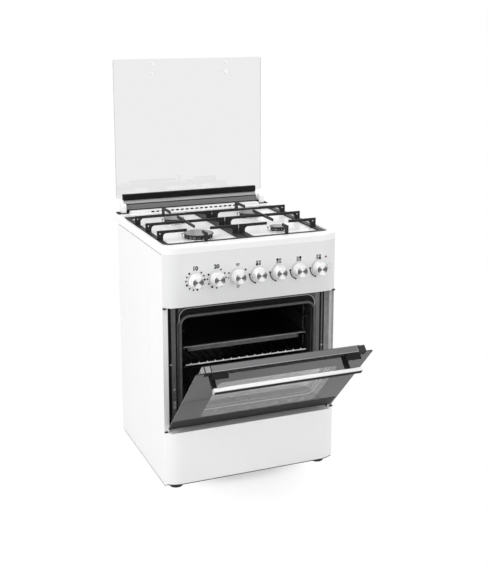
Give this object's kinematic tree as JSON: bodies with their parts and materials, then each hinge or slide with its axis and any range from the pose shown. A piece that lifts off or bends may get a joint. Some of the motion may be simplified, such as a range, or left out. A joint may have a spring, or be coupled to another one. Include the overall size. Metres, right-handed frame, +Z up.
{
  "type": "freestanding gas range",
  "caption": "Freestanding gas range: white enamel cabinet, gas hob under a glass lid, bowed panel of rotary knobs, drop-down glass oven door and a storage drawer",
  "frame": {"origin": "on the floor, at the middle of the box around the range with its lid up and door half open", "axes": "+X to the right seen from the front, +Y from front to back, +Z up"},
  "size_m": [0.6, 0.903, 1.354],
  "materials": {
    "white_enamel": "gloss white enamel",
    "galvanised_sheet": "bare galvanised sheet",
    "black_enamel": "gloss black enamel",
    "grey_enamel": "matt dark grey enamel",
    "chrome_wire": "bright chrome",
    "tray_metal": "dull grey metal",
    "mineral_wool": "glass wool blanket",
    "seal_rubber": "dark silicone",
    "tinted_glass": "grey reflecting glass",
    "clear_glass": "clear glass",
    "aluminium": "satin aluminium",
    "white_plastic": "gloss white plastic",
    "black_plastic": "matt black plastic",
    "black_metal": "satin black paint",
    "red_lens": "translucent red",
    "brass": "machined brass",
    "steel": "plain steel",
    "porcelain": "bare porcelain"
  },
  "bodies": {
    "cabinet": {"base_tray": "galvanised_sheet", "side_panel_left": "white_enamel", "side_panel_right": "white_enamel", "rear_panel": "galvanised_sheet", "levelling_feet": "black_plastic", "oven_liner": "black_enamel", "oven_front_frame": "black_enamel", "door_seal": "seal_rubber", "oven_insulation": "mineral_wool", "rack_rails": "chrome_wire", "oven_floor_plate": "black_enamel", "oven_burner": "steel", "grill_burner": "steel", "oven_lamp": "clear_glass", "hob_plate": "white_enamel", "burner_bodies": "aluminium", "burner_caps": "grey_enamel", "spark_electrodes": "porcelain", "control_panel": "white_enamel", "gas_taps": "brass", "minute_timer": "black_plastic", "gas_manifold": "steel", "gas_inlet": "brass", "mains_terminal_box": "black_plastic", "pilot_lamp": "red_lens", "ignition_switch": "black_plastic", "lid_hinge_towers": "white_enamel", "door_hinge_sockets": "steel", "drawer_runners": "galvanised_sheet"},
    "lid": {"lid_glass": "clear_glass", "lid_hinge_profile": "black_metal", "lid_bumpers": "seal_rubber"},
    "door": {"door_outer_glass": "tinted_glass", "door_inner_glass": "clear_glass", "door_inner_frame": "black_enamel", "door_top_profile": "aluminium", "door_end_caps": "black_plastic", "door_hinge_arms": "steel", "handle_bar": "aluminium", "handle_brackets": "black_plastic"},
    "drawer": {"drawer_front": "white_enamel", "drawer_box": "galvanised_sheet"},
    "rack": {"wire_rack": "chrome_wire"},
    "tray": {"baking_tray": "tray_metal"},
    "support_left": {"pan_support_left": "grey_enamel"},
    "support_right": {"pan_support_right": "grey_enamel"},
    "timer_dial": {"timer_knob": "white_plastic"},
    "button": {"ignition_button": "white_plastic"},
    "spindle_oven": {"tap_spindle_oven": "steel"},
    "dial_oven": {"knob_oven": "white_plastic"},
    "spindle_grill": {"tap_spindle_grill": "steel"},
    "dial_grill": {"knob_grill": "white_plastic"},
    "spindle_front_left": {"tap_spindle_front_left": "steel"},
    "dial_front_left": {"knob_front_left": "white_plastic"},
    "spindle_rear_left": {"tap_spindle_rear_left": "steel"},
    "dial_rear_left": {"knob_rear_left": "white_plastic"},
    "spindle_rear_right": {"tap_spindle_rear_right": "steel"},
    "dial_rear_right": {"knob_rear_right": "white_plastic"},
    "spindle_front_right": {"tap_spindle_front_right": "steel"},
    "dial_front_right": {"knob_front_right": "white_plastic"}
  },
  "joints": [
    {"name": "lid_hinge", "type": "hinge", "parent": "cabinet", "child": "lid", "pos_m": [0, 0.40899, 0.82], "axis": [-1, 0, 0], "range_deg": [-90, 0]},
    {"name": "door_hinge", "type": "hinge", "parent": "cabinet", "child": "door", "pos_m": [0, -0.14801, 0.228], "axis": [1, 0, 0], "range_deg": [-44.5, 45.5]},
    {"name": "drawer_slide", "type": "slide", "parent": "cabinet", "child": "drawer", "axis": [0, -1, 0], "range_m": [0, 0.3]},
    {"name": "rack_slide", "type": "slide", "parent": "cabinet", "child": "rack", "axis": [0, -1, 0], "range_m": [0, 0.15]},
    {"name": "tray_slide", "type": "slide", "parent": "cabinet", "child": "tray", "axis": [0, -1, 0], "range_m": [0, 0.18]},
    {"name": "support_left_lift", "type": "slide", "parent": "cabinet", "child": "support_left", "axis": [0, 0, 1], "range_m": [0, 0.03]},
    {"name": "support_right_lift", "type": "slide", "parent": "cabinet", "child": "support_right", "axis": [0, 0, 1], "range_m": [0, 0.03]},
    {"name": "timer_turn", "type": "hinge", "parent": "cabinet", "child": "timer_dial", "pos_m": [-0.197, -0.14201, 0.699], "axis": [0, 1, 0], "range_deg": [0, 330]},
    {"name": "button_press", "type": "slide", "parent": "cabinet", "child": "button", "axis": [0, 1, 0], "range_m": [0, 0.0025], "stiffness_N_per_m": 600, "springref_m": -0.002},
    {"name": "oven_tap_turn", "type": "hinge", "parent": "cabinet", "child": "spindle_oven", "pos_m": [-0.1257, -0.14201, 0.699], "axis": [0, -1, 0], "range_deg": [0, 270]},
    {"name": "oven_knob_push", "type": "slide", "parent": "spindle_oven", "child": "dial_oven", "axis": [0, 1, 0], "range_m": [0, 0.003], "stiffness_N_per_m": 900, "springref_m": -0.002},
    {"name": "grill_tap_turn", "type": "hinge", "parent": "cabinet", "child": "spindle_grill", "pos_m": [-0.0544, -0.14201, 0.699], "axis": [0, -1, 0], "range_deg": [0, 210]},
    {"name": "grill_knob_push", "type": "slide", "parent": "spindle_grill", "child": "dial_grill", "axis": [0, 1, 0], "range_m": [0, 0.003], "stiffness_N_per_m": 900, "springref_m": -0.002},
    {"name": "front_left_tap_turn", "type": "hinge", "parent": "cabinet", "child": "spindle_front_left", "pos_m": [0.0169, -0.14201, 0.699], "axis": [0, -1, 0], "range_deg": [0, 210]},
    {"name": "front_left_knob_push", "type": "slide", "parent": "spindle_front_left", "child": "dial_front_left", "axis": [0, 1, 0], "range_m": [0, 0.003], "stiffness_N_per_m": 900, "springref_m": -0.002},
    {"name": "rear_left_tap_turn", "type": "hinge", "parent": "cabinet", "child": "spindle_rear_left", "pos_m": [0.0882, -0.14201, 0.699], "axis": [0, -1, 0], "range_deg": [0, 210]},
    {"name": "rear_left_knob_push", "type": "slide", "parent": "spindle_rear_left", "child": "dial_rear_left", "axis": [0, 1, 0], "range_m": [0, 0.003], "stiffness_N_per_m": 900, "springref_m": -0.002},
    {"name": "rear_right_tap_turn", "type": "hinge", "parent": "cabinet", "child": "spindle_rear_right", "pos_m": [0.1595, -0.14201, 0.699], "axis": [0, -1, 0], "range_deg": [0, 210]},
    {"name": "rear_right_knob_push", "type": "slide", "parent": "spindle_rear_right", "child": "dial_rear_right", "axis": [0, 1, 0], "range_m": [0, 0.003], "stiffness_N_per_m": 900, "springref_m": -0.002},
    {"name": "front_right_tap_turn", "type": "hinge", "parent": "cabinet", "child": "spindle_front_right", "pos_m": [0.2308, -0.14201, 0.699], "axis": [0, -1, 0], "range_deg": [0, 210]},
    {"name": "front_right_knob_push", "type": "slide", "parent": "spindle_front_right", "child": "dial_front_right", "axis": [0, 1, 0], "range_m": [0, 0.003], "stiffness_N_per_m": 900, "springref_m": -0.002}
  ]
}
